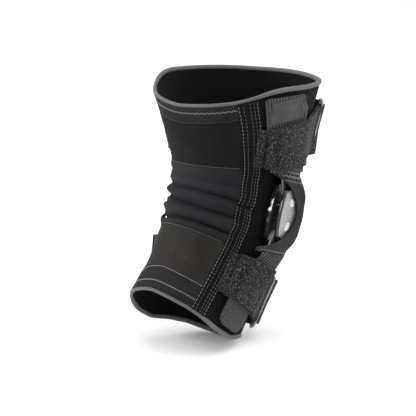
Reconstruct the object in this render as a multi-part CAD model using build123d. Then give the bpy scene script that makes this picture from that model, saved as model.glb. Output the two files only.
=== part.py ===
"""Hinged knee brace: a closed elastic sleeve with a geared two-pivot hinge on each side, worn on a
knee bent by FLEX degrees.

Millimetres. +Z runs up the thigh, -Y is the front of the knee, -X the outer (lateral) side. The
origin is the centre of the knee. Thigh parts are drawn in the thigh frame, which is the part's own
frame. Hinge parts are drawn in the hinge frame, half the bend away, and shin parts in the shin frame,
the whole bend away. Directions round the leg are angles from the back, 90 being the side.
"""

from build123d import *
import math
import os

os.makedirs("parts", exist_ok=True)

# ---- driving dimensions -------------------------------------------------------------------------
FLEX = 36.0                    # bend of the knee in the stored pose
HALF = FLEX / 2

# leg sections: height along the limb, half width (X), half depth (Y), shift towards the back
THIGH = [(14, 56.5, 66, 0), (43, 59, 67.5, -1), (66, 64, 71, -2), (90, 70, 77, -2),
         (107, 74.5, 82, -2), (132, 79.8, 88, -2)]
SHIN = [(-14, 56, 65, -1), (-36, 53.5, 60, -3), (-60, 52.5, 58, -4), (-90, 52.5, 58, -4),
        (-120, 53.5, 59, -2), (-140, 54.5, 60, -1)]
KNEE_WIDTH, KNEE_DEPTH, KNEE_SHIFT = 56.3, 66.0, 0.64   # in the hinge frame

AXIS_Y = -2.0                  # angles round the leg are measured from here
SLEEVE_T = 3.0                 # sleeve fabric
KNEE_REACH = 45.0              # the knee section reaches this far either side of the hinge centre
JOIN_GAP = 0.3                 # between pieces of different bodies

TOP_BACK, TOP_SIDE = 110.0, 126.5            # top edge above the knee, at the back and the sides
TOP_RAMP = (74.0, 13.0)                      # Y where that step starts and ends
BOTTOM_BACK, BOTTOM_SIDE, BOTTOM_FRONT = -121.0, -132.0, -116.0
BOTTOM_RAMP = (50.0, 10.0)
BOTTOM_RISE = (-14.0, -48.0)
BINDING_H, BINDING_PROUD = 4.0, 0.9

SEAM = 59.0                    # seam between back and front panels
TAPE = (50.0, 68.0)            # the stitched tape over it
TAPE_LIFT = (0.15, 1.25)
BACK_TAPE_END = 3.5            # the tape ends this far above or below the sleeve's edge

# hinge
PIVOT_GAP = 24.0               # between the two pivots
HINGE_Y, PIVOT_RISE = -1.0, 14.27   # upper pivot in the thigh frame, mirrored in the shin frame
PAD_X = (58.8, 61.4)           # distances from the leg's middle plane
INNER_X = (61.5, 66.6)
ARM_X = (67.0, 69.0)
OUTER_X = (69.6, 73.0)
FACE_X = (73.0, 73.9)
HEAD_X = 74.9
RIVET_R, RIVET_HEAD_R, RIVET_CLEAR = 3.0, 4.6, 0.05
TEETH, PRESSURE, BACKLASH = 16, 25.0, 0.35
ARM_W = 16.0
# the inner face of each arm: height along the limb, distance from the middle plane
THIGH_ARM_LINE = [(-30, ARM_X[0]), (70, ARM_X[0]), (112, 77.6)]
SHIN_ARM_LINE = [(-120, 54.2), (-78, 54.2), (-40, ARM_X[0]), (30, ARM_X[0])]
THIGH_ARM_TOP, SHIN_ARM_TOP = 98.0, 106.0
OUTER_SIZE = (13.8, 25.8)      # half width and half length of the cover plates
INNER_SIZE = (20.0, 29.5)
PAD_SIZE = (17.0, 26.0)
SIDE_ARC = 120.0               # radius of the plates' long edges

# pockets, straps and rings: (from, to) angles round the leg, and lift above the sleeve
POCKET_T = 1.6
THIGH_POCKET, SHIN_POCKET = (66.0, 102.0), (73.0, 107.0)
THIGH_POCKET_Z, SHIN_POCKET_Z = (42.0, 118.0), (-125.0, -42.0)
POCKET_LIFT = 3.9
STRAP_LIFT, STRAP_T = 5.9, 1.9
STRAP_W = 44.0
ARM_COVER = 2.0                # webbing over the arm rides this far above it
BUMP = (59.0, 79.0, 100.0, 119.0)            # angles where the webbing lifts over the arm
THIGH_STRAP_Z, SHIN_STRAP_Z = 69.5, -76.0
THIGH_STRAP_TILT, SHIN_STRAP_TILT = 5.0, 0.0
THIGH_STRAP, SHIN_STRAP = (68.5, 75.0, 140.0), (68.5, 76.0, 141.0)   # root, free end, ring
RING_WIRE, RING_L, RING_W = 3.0, 52.0, 15.0
BADGE = (69.0, 94.0)
BADGE_Z, BADGE_H, BADGE_T = 105.0, 22.0, 1.3

PATELLA_Z, PATELLA_SIZE = 2.0, (25.0, 27.0)  # opening in front of the kneecap, half sizes
BUTTRESS_W, BUTTRESS_T = 11.0, 3.6
BRIDGE_HALF, BRIDGE_WINDOW = 50.0, 35.0      # half lengths of the strip and of its window
BRIDGE_BOW = 42.0              # the strip stands out over this half length
BRIDGE_X, BRIDGE_OUT = 71.4, 76.8            # its distance out at the ends and the middle
BRIDGE_BACK, BRIDGE_RIM = 24.0, -6.8         # Y of its rear edge at the ends and the middle
BRIDGE_SHOULDER = (-18.0, -4.0)               # Y of its front edge in the middle and at the ends
BRIDGE_FOOT_Y = (-45.4, -27.0)                # Y where it meets the sleeve, likewise
BRIDGE_TAPER = (18.0, 46.0)                   # heights where that narrowing starts and ends
RING_ROOM = 5.0                # the strip ends this far above the shin pocket, clear of the ring
BAR_CLEAR = 0.3
ROLL = 0.9                     # webbing is this much thicker each way where it turns round a bar
THIGH_LIMB, SHIN_LIMB = (THIGH, THIGH_ARM_LINE), (SHIN, SHIN_ARM_LINE)
FAR = 150.0                    # past everything


# ---- frames -------------------------------------------------------------------------------------
def turned(y, z, degrees):
    """(y, z) turned about +X."""
    c, s = math.cos(math.radians(degrees)), math.sin(math.radians(degrees))
    return y * c - z * s, y * s + z * c


UPPER = (HINGE_Y, PIVOT_RISE)
_link = turned(0, -PIVOT_GAP, HALF)
LOWER = (UPPER[0] + _link[0], UPPER[1] + _link[1])
CENTRE = ((UPPER[0] + LOWER[0]) / 2, (UPPER[1] + LOWER[1]) / 2)
_shin_pivot = turned(HINGE_Y, -PIVOT_RISE, FLEX)
HINGE_FRAME = Pos(0, CENTRE[0], CENTRE[1]) * Rot(HALF, 0, 0)
SHIN_FRAME = Pos(0, LOWER[0] - _shin_pivot[0], LOWER[1] - _shin_pivot[1]) * Rot(FLEX, 0, 0)


def side_plane(x):
    """Sketch plane at that X, with local x along +Y and local y along +Z."""
    return Plane(origin=(x, 0, 0), x_dir=(0, 1, 0), z_dir=(1, 0, 0))


def slab(sketch, x_range):
    """The sketch on the lateral side plane, solid between two distances from the leg's centre."""
    near, far = x_range
    return extrude(side_plane(-far) * sketch, amount=far - near)


# ---- the limb's surface -------------------------------------------------------------------------
def at(table, z):
    """A table's values at a height, such as half width, half depth and shift."""
    rows = sorted(table)
    z = min(max(z, rows[0][0]), rows[-1][0])
    for low, high in zip(rows, rows[1:]):
        if z <= high[0]:
            t = (z - low[0]) / (high[0] - low[0])
            return [a + t * (b - a) for a, b in zip(low[1:], high[1:])]


def tube(table, lift):
    """Solid limb, grown by lift."""
    rows = [Plane.XY.offset(z) * Pos(0, c, 0) * Ellipse(a + lift, b + lift) for z, a, b, c in sorted(table)]
    return loft(rows, ruled=True)


def shell(table, low, high):
    """Everything between two lifts above the limb's surface."""
    return tube(table, high) - tube(table, low)


def reach(table, z, angle, lift):
    """Distance from the limb's axis to its surface, grown by lift, in that direction."""
    a, b, c = at(table, z)
    a, b, c = a + lift, b + lift, c - AXIS_Y
    sin, cos = math.sin(math.radians(angle)), math.cos(math.radians(angle))
    square = (sin / a) ** 2 + (cos / b) ** 2
    linear = -c * cos / b**2
    rest = (c / b) ** 2 - 1
    return (-linear + math.sqrt(linear**2 - square * rest)) / square


def on_leg(table, z, angle, lift):
    """The point at that height and angle, lifted off the surface; lateral side."""
    r = reach(table, z, angle, lift)
    t = math.radians(angle)
    return Vector(-r * math.sin(t), AXIS_Y + r * math.cos(t), z)


def arm_lift(table, line, z, angle):
    """How far webbing must rise, over the pocket's own lift, to pass over the arm."""
    start, full, full_end, end = BUMP
    share = min(1.0, max(0.0, min((angle - start) / (full - start), (end - angle) / (end - full_end))))
    far = at([(height, out) for height, out in line], z)[0]
    stand_off = far + ARM_X[1] - ARM_X[0] + ARM_COVER - POCKET_LIFT - at(table, z)[0]
    return max(0.0, stand_off) * share


def skin(limb, angles, z_range, profile, tilt=0.0):
    """Webbing laid round the limb between two heights. profile(angle) gives its two lifts."""
    table, line = limb
    heights = spaced(*z_range, 9)
    faces = []
    for angle in angles:
        low, high = profile(angle)
        b = at(table, heights[len(heights) // 2])[1]
        drop = math.tan(math.radians(tilt)) * b * math.cos(math.radians(angle))
        levels = [z - drop for z in heights]
        bumps = [arm_lift(table, line, z, angle if angle < 180 else 360 - angle) for z in levels]
        inner = [on_leg(table, z, angle, low + bump) for z, bump in zip(levels, bumps)]
        outer = [on_leg(table, z, angle, high + bump) for z, bump in zip(levels, bumps)]
        faces.append(make_face(Polyline([*inner, *reversed(outer)], close=True)))
    return loft(faces, ruled=True)


def spaced(first, last, step):
    """Angles from first to last, about step apart."""
    count = max(1, round((last - first) / step))
    return [first + (last - first) * i / count for i in range(count + 1)]


def flat(low, high):
    """Profile of even thickness."""
    return lambda angle: (low, high)


def sector(first, last, z_low=-FAR, z_high=FAR):
    """Wedge of space between two angles round the leg on the lateral side; past 180 it goes on."""
    steps = max(2, math.ceil((last - first) / 40))
    edge = []
    for i in range(steps + 1):
        t = math.radians(first + (last - first) * i / steps)
        edge.append((-1.5 * FAR * math.sin(t), 1.5 * FAR * math.cos(t)))
    outline = Polyline([(0, 0), *edge], close=True)
    return extrude(Plane.XY.offset(z_low) * make_face(outline), amount=z_high - z_low)


def both_sides(shape):
    """A lateral shape with its medial twin, as separate values."""
    return shape, mirror(shape, about=Plane.YZ)


# ---- edges of the sleeve ------------------------------------------------------------------------
def edge_line(points):
    """Smooth profile through (y, z) points, level at both ends, as an edge in the side view."""
    return Spline(points, tangents=[(-1, 0), (-1, 0)])


def under_profile(points, down_to):
    """Everything below the profile."""
    line = edge_line(points)
    first, last = points[0], points[-1]
    rest = Polyline([last, (-FAR, last[1]), (-FAR, down_to), (FAR, down_to), (FAR, first[1]), first])
    return extrude(side_plane(-FAR) * make_face([line, rest]), amount=2 * FAR)


def top_profile(drop):
    start, end = TOP_RAMP
    middle = (start + end) / 2
    return [(start, TOP_BACK - drop), (middle, (TOP_BACK + TOP_SIDE) / 2 - drop), (end, TOP_SIDE - drop)]


def bottom_profile(rise):
    start, end = BOTTOM_RAMP
    front_start, front_end = BOTTOM_RISE
    return [(start, BOTTOM_BACK + rise),
            ((start + end) / 2, (BOTTOM_BACK + BOTTOM_SIDE) / 2 + rise),
            (end, BOTTOM_SIDE + rise), (front_start, BOTTOM_SIDE + rise),
            ((front_start + front_end) / 2, (BOTTOM_SIDE + BOTTOM_FRONT) / 2 + rise),
            (front_end, BOTTOM_FRONT + rise)]


def below_top(drop):
    return under_profile(top_profile(drop), -FAR)


def below_bottom(rise):
    return under_profile(bottom_profile(rise), -2 * FAR)


def hinge_side(reach):
    """Space further than reach above the hinge's middle plane, in the part's frame."""
    return HINGE_FRAME * Pos(0, 0, reach + FAR) * Box(4 * FAR, 4 * FAR, 2 * FAR)


def hinge_side_below(reach):
    """Space further than reach below the hinge's middle plane, in the shin frame."""
    return SHIN_FRAME.inverse() * HINGE_FRAME * Pos(0, 0, -reach - FAR) * Box(4 * FAR, 4 * FAR, 2 * FAR)


# ---- sleeve -------------------------------------------------------------------------------------
def thigh_sleeve():
    body = shell(THIGH, -SLEEVE_T, 0) & hinge_side(KNEE_REACH + JOIN_GAP)
    body = body & below_top(BINDING_H)
    back = body & sector(-SEAM, SEAM)
    front = body & sector(SEAM, 360 - SEAM)
    rim = shell(THIGH, -SLEEVE_T - 0.2, BINDING_PROUD) & (below_top(0) - below_top(BINDING_H))
    return {"thigh_back_panel": back, "thigh_front_panel": front, "thigh_binding": rim}


def shin_sleeve():
    body = shell(SHIN, -SLEEVE_T, 0) & hinge_side_below(KNEE_REACH + JOIN_GAP)
    body = body - below_bottom(BINDING_H)
    back = body & sector(-SEAM, SEAM)
    front = body & sector(SEAM, 360 - SEAM)
    rim = shell(SHIN, -SLEEVE_T - 0.2, BINDING_PROUD) & (below_bottom(BINDING_H) - below_bottom(0))
    return {"shin_back_panel": back, "shin_front_panel": front, "shin_binding": rim}


def knee_end(table, frame, height):
    """Half width, half depth and shift of a limb's slanted section, in the hinge frame."""
    to_hinge = HINGE_FRAME.inverse() * frame
    ends = []
    for side in (1, -1):
        low, high = sorted(table)[0][0], sorted(table)[-1][0]
        for _ in range(30):
            z = (low + high) / 2
            _, b, c = at(table, z)
            point = (to_hinge * Pos(0, c + side * b, z)).position
            low, high = (z, high) if point.Z < height else (low, z)
        ends.append((point.Y, z))
    (back, z_back), (front, z_front) = ends
    return at(table, (z_back + z_front) / 2)[0], (back - front) / 2, (back + front) / 2


def knee_rows():
    """Sections of the bent stretch between thigh and shin, level in the hinge frame."""
    return [(KNEE_REACH, *THIGH_END), (0, KNEE_WIDTH, KNEE_DEPTH, KNEE_SHIFT), (-KNEE_REACH, *SHIN_END)]


def knee_tube(lift):
    rows = sorted(knee_rows())
    return loft([Plane.XY.offset(z) * Pos(0, c, 0) * Ellipse(a + lift, b + lift) for z, a, b, c in rows])


THIGH_END = knee_end(THIGH, Pos(0, 0, 0), KNEE_REACH)
SHIN_END = knee_end(SHIN, SHIN_FRAME, -KNEE_REACH)


def knee_sleeve():
    body = knee_tube(0) - knee_tube(-SLEEVE_T)
    back = body & sector(-SEAM, SEAM)
    opening = extrude(Plane.XZ * Pos(0, PATELLA_Z) * Ellipse(*PATELLA_SIZE), amount=FAR)
    front = (body & sector(SEAM, 360 - SEAM)) - opening
    outer = extrude(Plane.XZ * Pos(0, PATELLA_Z) * Ellipse(*[s + BUTTRESS_W for s in PATELLA_SIZE]), amount=FAR)
    ring = (knee_tube(-SLEEVE_T - 0.15) - knee_tube(-SLEEVE_T - BUTTRESS_T)) & (outer - opening)
    tape = (knee_tube(TAPE_LIFT[1]) - knee_tube(TAPE_LIFT[0])) & sector(*TAPE, -KNEE_REACH, KNEE_REACH)
    lateral, medial = both_sides(tape)
    made = {"popliteal_panel": back, "knee_front_panel": front, "patella_buttress": ring,
            "lateral_knee_tape": lateral, "medial_knee_tape": medial}
    return {name: HINGE_FRAME * shape for name, shape in made.items()}


def tapes():
    thigh = shell(THIGH, *TAPE_LIFT) & sector(*TAPE)
    thigh = thigh & hinge_side(KNEE_REACH + JOIN_GAP) & below_top(BINDING_H + BACK_TAPE_END)
    shin = shell(SHIN, *TAPE_LIFT) & sector(*TAPE) & hinge_side_below(KNEE_REACH + JOIN_GAP)
    shin = shin - below_bottom(BINDING_H + BACK_TAPE_END)
    return thigh, shin


# ---- hinge --------------------------------------------------------------------------------------
def barrel(half_w, half_l, corner=7.5):
    """Plate outline: long edges are arcs, short edges gently bowed, corners rounded."""
    sag = SIDE_ARC - math.sqrt(SIDE_ARC**2 - (half_l - 3) ** 2)
    w, l = half_w - sag, half_l - 3
    right = ThreePointArc((w, -l), (half_w, 0), (w, l))
    top = ThreePointArc((w, l), (0, half_l), (-w, l))
    left = ThreePointArc((-w, l), (-half_w, 0), (-w, -l))
    bottom = ThreePointArc((-w, -l), (0, -half_l), (w, -l))
    face = make_face([right, top, left, bottom])
    return fillet(face.vertices(), corner)


def gear_sketch(first_tooth, teeth_from, teeth_to):
    """Teeth of an involute gear on part of a disc; angles in degrees from local x."""
    module = PIVOT_GAP / TEETH
    pitch_r = PIVOT_GAP / 2
    tip_r, root_r = pitch_r + 0.85 * module, pitch_r - 1.15 * module
    base_r = pitch_r * math.cos(math.radians(PRESSURE))
    step = 360 / TEETH

    def involute(r):
        ratio = min(1.0, base_r / r)
        return math.tan(math.acos(ratio)) - math.acos(ratio)

    half_pitch = math.pi / (2 * TEETH) - BACKLASH / (4 * pitch_r) + involute(pitch_r)
    radii = [max(base_r, root_r) + (tip_r - max(base_r, root_r)) * i / 5 for i in range(6)]
    flank = [(r, half_pitch - involute(r)) for r in radii]
    face = Circle(root_r + 0.01)
    angle = first_tooth
    while angle > teeth_from:
        angle -= step
    while angle <= teeth_to:
        if angle >= teeth_from:
            t = math.radians(angle)
            left = [(r * math.cos(t + h), r * math.sin(t + h)) for r, h in flank]
            right = [(r * math.cos(t - h), r * math.sin(t - h)) for r, h in flank]
            foot = root_r * 0.8
            h = flank[0][1]
            inner = [(foot * math.cos(t + s * h), foot * math.sin(t + s * h)) for s in (-1, 1)]
            face += make_face(Polyline([*inner, *left, *reversed(right)], close=True))
        angle += step
    return face


def arm(first_tooth, teeth_from, teeth_to, up, top, line):
    """Flat upright with a gear sector round its pivot at the sketch's origin. up is 1 or -1."""
    length = top - PIVOT_RISE
    bar = Pos(0, up * length / 2) * Rectangle(ARM_W, length)
    end = Pos(0, up * length) * Circle(ARM_W / 2)
    outline = bar + end + gear_sketch(first_tooth, teeth_from, teeth_to)
    outline = outline - Circle(RIVET_R + RIVET_CLEAR)
    blank = Pos(0, HINGE_Y, up * PIVOT_RISE) * slab(outline, (40, 100))
    t = ARM_X[1] - ARM_X[0]
    inner = [(-x, z) for z, x in line]
    outer = [(-x - t, z) for z, x in reversed(line)]
    profile = make_face(Polyline([*inner, *outer], close=True))
    return blank & extrude(Plane.XZ * profile, amount=FAR, both=True)


def arms():
    line = -90 + HALF
    upper = arm(line, -135, 5, 1, THIGH_ARM_TOP, THIGH_ARM_LINE)
    lower = arm(-line + 180 / TEETH, -5, 135, -1, SHIN_ARM_TOP, SHIN_ARM_LINE)
    return upper, lower


def pivots():
    return [(0, PIVOT_GAP / 2), (0, -PIVOT_GAP / 2)]


def hinge_covers():
    """Inner cover, outer cover, face plate, rivets and pad of the lateral hinge, in the hinge frame."""
    holes = Sketch() + [Pos(*p) * Circle(RIVET_R + RIVET_CLEAR) for p in pivots()]
    inner = slab(barrel(*INNER_SIZE) - holes, INNER_X)
    inner = fillet(inner.faces().sort_by(Axis.X)[-1].outer_wire().edges(), 1.6)
    outer = slab(barrel(*OUTER_SIZE) - holes, OUTER_X)
    outer = fillet(outer.faces().sort_by(Axis.X)[0].outer_wire().edges(), 0.9)
    face = slab(barrel(OUTER_SIZE[0] - 1.7, OUTER_SIZE[1] - 1.7, 6.0) - holes, FACE_X)
    pad = slab(barrel(*PAD_SIZE), PAD_X)
    rivets = []
    for p in pivots():
        shank = slab(Pos(*p) * Circle(RIVET_R), (INNER_X[0] + 0.4, HEAD_X - 0.6))
        head = slab(Pos(*p) * Circle(RIVET_HEAD_R), (FACE_X[1], HEAD_X))
        head = chamfer(head.faces().sort_by(Axis.X)[0].edges(), 0.6, 1.0)
        rivets.append(shank + head)
    return {"inner_cover": inner, "outer_cover": outer, "face_plate": face,
            "pivot_rivets": rivets[0] + rivets[1], "condyle_pad": pad}


# ---- pockets, straps, rings ---------------------------------------------------------------------
def pockets():
    lifts = flat(POCKET_LIFT, POCKET_LIFT + POCKET_T)
    thigh = skin(THIGH_LIMB, spaced(*THIGH_POCKET, 5), THIGH_POCKET_Z, lifts)
    shin = skin(SHIN_LIMB, spaced(*SHIN_POCKET, 5), SHIN_POCKET_Z, lifts)
    return thigh, shin


def bridge_face(z):
    """Cross-section of the pocket's strip where it passes the hinge, in the hinge frame."""
    out = BRIDGE_X + (BRIDGE_OUT - BRIDGE_X) * max(0, 1 - (z / BRIDGE_BOW) ** 4)
    bulge = max(0, 1 - (z / BRIDGE_WINDOW) ** 2)
    rim_y = BRIDGE_BACK + (BRIDGE_RIM - BRIDGE_BACK) * bulge
    start, end = BRIDGE_TAPER
    taper = min(1.0, max(0.0, (abs(z) - start) / (end - start)))
    shoulder = BRIDGE_SHOULDER[0] + (BRIDGE_SHOULDER[1] - BRIDGE_SHOULDER[0]) * taper
    foot_y = BRIDGE_FOOT_Y[0] + (BRIDGE_FOOT_Y[1] - BRIDGE_FOOT_Y[0]) * taper
    a, b, c = at(knee_rows(), z)
    foot = a * math.sqrt(1 - ((foot_y - c) / b) ** 2) + POCKET_T + 3.2
    outer = [(out, rim_y), (out, (rim_y + shoulder) / 2), (out - 0.5, shoulder), (foot, foot_y)]
    inner = [(out - POCKET_T, rim_y), (out - POCKET_T, (rim_y + shoulder) / 2),
             (out - 0.5 - POCKET_T, shoulder + 0.8), (foot - POCKET_T, foot_y + 0.6)]
    points = [Vector(-x, y, z) for x, y in [*outer, *reversed(inner)]]
    return make_face(Polyline(points, close=True))


def pocket_bridge():
    """The strip in front of the hinge, ending short of both pockets; in the hinge frame."""
    strip = loft([bridge_face(z) for z in spaced(-BRIDGE_HALF, BRIDGE_HALF, 7)], ruled=True)
    over = Pos(0, 0, THIGH_POCKET_Z[0] - JOIN_GAP + FAR) * Box(4 * FAR, 4 * FAR, 2 * FAR)
    under = Pos(0, 0, SHIN_POCKET_Z[1] + RING_ROOM - FAR) * Box(4 * FAR, 4 * FAR, 2 * FAR)
    to_hinge = HINGE_FRAME.inverse()
    return strip - to_hinge * over - to_hinge * SHIN_FRAME * under


def strap(limb, z, tilt, spans):
    """A strap sewn at the seam tape, run forward, turned round the ring's bar and laid back."""
    root, free_end, ring_at = spans
    thick = 2 * STRAP_T + 0.4
    angles = [*spaced(root, free_end, 5), *spaced(free_end + 0.6, ring_at - 5, 5), ring_at - 2.5, ring_at + 3]
    heights = (z - STRAP_W / 2, z + STRAP_W / 2)

    def profile(angle):
        if angle > ring_at - 4:
            return STRAP_LIFT - ROLL, STRAP_LIFT + thick + ROLL
        return STRAP_LIFT, STRAP_LIFT + (STRAP_T if angle <= free_end else thick)

    return skin(limb, angles, heights, profile, tilt)


def ring_frame(limb, z, tilt, ring_at):
    """Plane on the ring's rear bar: local y along the bar, local z out of the leg."""
    table = limb[0]
    lift = STRAP_LIFT + STRAP_T + 0.2
    drop = math.tan(math.radians(tilt)) * at(table, z)[1] * math.cos(math.radians(ring_at))
    low = on_leg(table, z - STRAP_W / 2 - drop, ring_at, lift)
    high = on_leg(table, z + STRAP_W / 2 - drop, ring_at, lift)
    ahead = on_leg(table, z - drop, ring_at + 8, lift) - on_leg(table, z - drop, ring_at, lift)
    along = (high - low).normalized()
    forward = (ahead - along * ahead.dot(along)).normalized()
    return Plane(origin=(low + high) * 0.5, x_dir=forward, z_dir=forward.cross(along))


def ring(frame):
    """Rectangular wire loop, its rear bar on the frame's y axis."""
    path = frame * Pos(RING_W / 2, 0) * RectangleRounded(RING_W, RING_L, 3.2)
    wire = path.face().outer_wire()
    section = Plane(origin=wire @ 0, z_dir=wire % 0) * Circle(RING_WIRE / 2)
    return sweep(section, path=wire)


def bar_hole(frame, at_x):
    return frame * Pos(at_x, 0, 0) * Rot(90, 0, 0) * Cylinder(RING_WIRE / 2 + BAR_CLEAR, 3 * STRAP_W)


def front_band(limb, z, tilt, ring_at):
    """Elastic band across the front; each end is doubled round the ring's front bar."""
    start = ring_at + math.degrees(RING_W / at(limb[0], z)[1]) - 3.0
    low, high = STRAP_LIFT - ROLL, STRAP_LIFT + 2 * STRAP_T + 0.4 + ROLL
    ends = [start, start + 3, start + 6, start + 9]
    lifts = [(low, high), (low, high), (low, high), (0.5, 2.4)]
    angles = [*ends, *spaced(start + 14, 346 - start, 6), *[360 - angle for angle in reversed(ends)]]
    by_angle = {**dict(zip(ends, lifts)), **{360 - angle: lift for angle, lift in zip(ends, lifts)}}
    heights = (z - STRAP_W / 2, z + STRAP_W / 2)
    body = skin(limb, angles, heights, lambda angle: by_angle.get(angle, (0.5, 2.4)), tilt)
    hole = bar_hole(ring_frame(limb, z, tilt, ring_at), RING_W)
    return body - hole - mirror(hole, about=Plane.YZ)


def loop_pad(limb, z, tilt, spans):
    """Soft loop pile sewn on the tape, for the strap's root to grip."""
    root = spans[0]
    heights = (z - STRAP_W / 2 + 1, z + STRAP_W / 2 - 1)
    return skin(limb, spaced(root - 9, root + 2, 4), heights, flat(1.6, 3.4), tilt)


def badge():
    """Blank rubber patch on the thigh pocket's top end."""
    low = POCKET_LIFT + POCKET_T + 0.4
    heights = (BADGE_Z - BADGE_H / 2, BADGE_Z + BADGE_H / 2)
    return skin(THIGH_LIMB, spaced(*BADGE, 5), heights, flat(low, low + BADGE_T), THIGH_STRAP_TILT)


# ---- assembly -----------------------------------------------------------------------------------
def pair(made, name, shape, frame=Pos(0, 0, 0)):
    lateral, medial = both_sides(shape)
    made["lateral_" + name] = frame * lateral
    made["medial_" + name] = frame * medial


def assembly():
    made = {**thigh_sleeve(), **knee_sleeve()}
    made.update({name: SHIN_FRAME * shape for name, shape in shin_sleeve().items()})
    thigh_tape, shin_tape = tapes()
    pair(made, "thigh_tape", thigh_tape)
    pair(made, "shin_tape", shin_tape, SHIN_FRAME)
    upper, lower = arms()
    pair(made, "upper_arm", upper)
    pair(made, "lower_arm", lower, SHIN_FRAME)
    for name, shape in hinge_covers().items():
        pair(made, name, shape, HINGE_FRAME)
    thigh_pocket, shin_pocket = pockets()
    pair(made, "thigh_pocket", thigh_pocket)
    pair(made, "shin_pocket", shin_pocket, SHIN_FRAME)
    pair(made, "pocket_bridge", pocket_bridge(), HINGE_FRAME)
    pair(made, "badge", badge())
    limbs = (("thigh", THIGH_LIMB, THIGH_STRAP_Z, THIGH_STRAP_TILT, THIGH_STRAP, Pos(0, 0, 0)),
             ("shin", SHIN_LIMB, SHIN_STRAP_Z, SHIN_STRAP_TILT, SHIN_STRAP, SHIN_FRAME))
    for name, limb, z, tilt, spans, frame in limbs:
        bar = ring_frame(limb, z, tilt, spans[2])
        pair(made, name + "_strap", strap(limb, z, tilt, spans) - bar_hole(bar, 0), frame)
        pair(made, name + "_ring", ring(bar), frame)
        pair(made, name + "_loop_pad", loop_pad(limb, z, tilt, spans), frame)
        made[name + "_front_band"] = frame * front_band(limb, z, tilt, spans[2])
    return made


for node, shape in assembly().items():
    export_step(shape, f"parts/{node}.step")
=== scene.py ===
"""Hinged knee brace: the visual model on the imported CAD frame. Millimetres inside, metres in Blender."""

import math

import bpy
import numpy as np
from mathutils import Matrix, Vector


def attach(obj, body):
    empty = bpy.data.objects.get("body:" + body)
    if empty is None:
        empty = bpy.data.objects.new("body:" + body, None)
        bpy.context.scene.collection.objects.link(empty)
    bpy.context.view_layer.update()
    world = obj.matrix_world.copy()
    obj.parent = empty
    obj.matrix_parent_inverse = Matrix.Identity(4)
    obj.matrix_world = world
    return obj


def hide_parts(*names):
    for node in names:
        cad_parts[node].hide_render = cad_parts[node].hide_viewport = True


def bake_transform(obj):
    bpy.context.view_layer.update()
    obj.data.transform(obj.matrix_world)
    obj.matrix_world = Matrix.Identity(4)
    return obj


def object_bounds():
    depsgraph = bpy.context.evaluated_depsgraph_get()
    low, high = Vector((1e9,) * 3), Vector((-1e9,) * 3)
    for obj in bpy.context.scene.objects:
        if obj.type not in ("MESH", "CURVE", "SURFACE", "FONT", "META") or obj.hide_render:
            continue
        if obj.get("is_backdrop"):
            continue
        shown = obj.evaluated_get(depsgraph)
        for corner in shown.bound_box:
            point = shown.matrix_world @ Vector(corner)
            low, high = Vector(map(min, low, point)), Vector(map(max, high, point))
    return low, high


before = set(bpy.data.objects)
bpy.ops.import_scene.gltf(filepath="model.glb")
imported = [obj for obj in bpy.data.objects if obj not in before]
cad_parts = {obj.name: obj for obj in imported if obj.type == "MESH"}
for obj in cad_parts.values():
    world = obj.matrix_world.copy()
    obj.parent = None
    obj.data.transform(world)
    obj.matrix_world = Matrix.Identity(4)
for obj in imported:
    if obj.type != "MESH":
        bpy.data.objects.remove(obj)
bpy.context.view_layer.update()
MM = 0.001

# ---- the limb, as in the CAD model --------------------------------------------------------------
HALF = math.radians(18)                      # half the bend at rest
PIVOT_GAP, HINGE_Y, PIVOT_RISE = 24.0, -1.0, 14.27
UPPER = np.array([HINGE_Y, PIVOT_RISE])
LOWER = UPPER + PIVOT_GAP * np.array([math.sin(HALF), -math.cos(HALF)])
CENTRE = (UPPER + LOWER) / 2
CORNER = np.array([-1.16, 3.59])             # where thigh and shin axes meet
BEND_REACH = 66.0                            # the bend runs this far along each axis
BEND_R = BEND_REACH / math.tan(HALF)
BEND_CENTRE = CORNER + np.array([BEND_R, BEND_REACH])

# station along the limb, half width, half depth, shift towards the back
LIMB = [(-140, 54.5, 60, -1), (-120, 53.5, 59, -2), (-90, 52.5, 58, -4), (-60, 52.5, 58.5, -4),
        (-36, 53.6, 61.5, -5), (-14, 55.4, 64.5, -6), (0, 56.2, 66, -6.4), (14, 56.7, 66.5, -6),
        (43, 59, 68, -4), (66, 64, 71, -2.3), (90, 70, 77, -2), (107, 74.5, 82, -2), (128, 79, 87, -2)]
SOFTEN, FINE_STEP, KERNEL_HALF = 6.0, 0.5, 30    # rounding of the table's corners
SLEEVE_T = 2.6
STRAP_W, STRAP_T = 44.0, 1.7
ARM_T = 2.0
# inner face of each arm: height in the limb's own frame, distance out
THIGH_ARM = [(-30, 67.0), (70, 67.0), (112, 77.6)]
SHIN_ARM = [(-120, 54.2), (-78, 54.2), (-40, 67.0), (30, 67.0)]
POCKET_T = 1.5


def smooth(x):
    """Smooth step from 0 at 0 to 1 at 1."""
    x = np.clip(x, 0, 1)
    return x * x * (3 - 2 * x)


def bell(x):
    """Bell curve, 1 at 0."""
    return np.exp(-x * x)


def smoothed_table():
    """The limb's table on a fine even grid, its corners rounded."""
    rows = np.array(LIMB, float)
    fine = np.arange(-170, 160.5, FINE_STEP)
    kernel = bell(np.arange(-KERNEL_HALF, KERNEL_HALF + 1) * FINE_STEP / SOFTEN)
    kernel /= kernel.sum()
    columns = []
    for i in (1, 2, 3):
        slope_low = (rows[1, i] - rows[0, i]) / (rows[1, 0] - rows[0, 0])
        slope_high = (rows[-1, i] - rows[-2, i]) / (rows[-1, 0] - rows[-2, 0])
        line = np.interp(fine, rows[:, 0], rows[:, i])
        line += np.minimum(fine - rows[0, 0], 0) * slope_low
        line += np.maximum(fine - rows[-1, 0], 0) * slope_high
        columns.append(np.convolve(np.pad(line, KERNEL_HALF, mode="edge"), kernel, mode="valid"))
    return fine, columns


FINE, (FINE_A, FINE_B, FINE_C) = smoothed_table()


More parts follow.
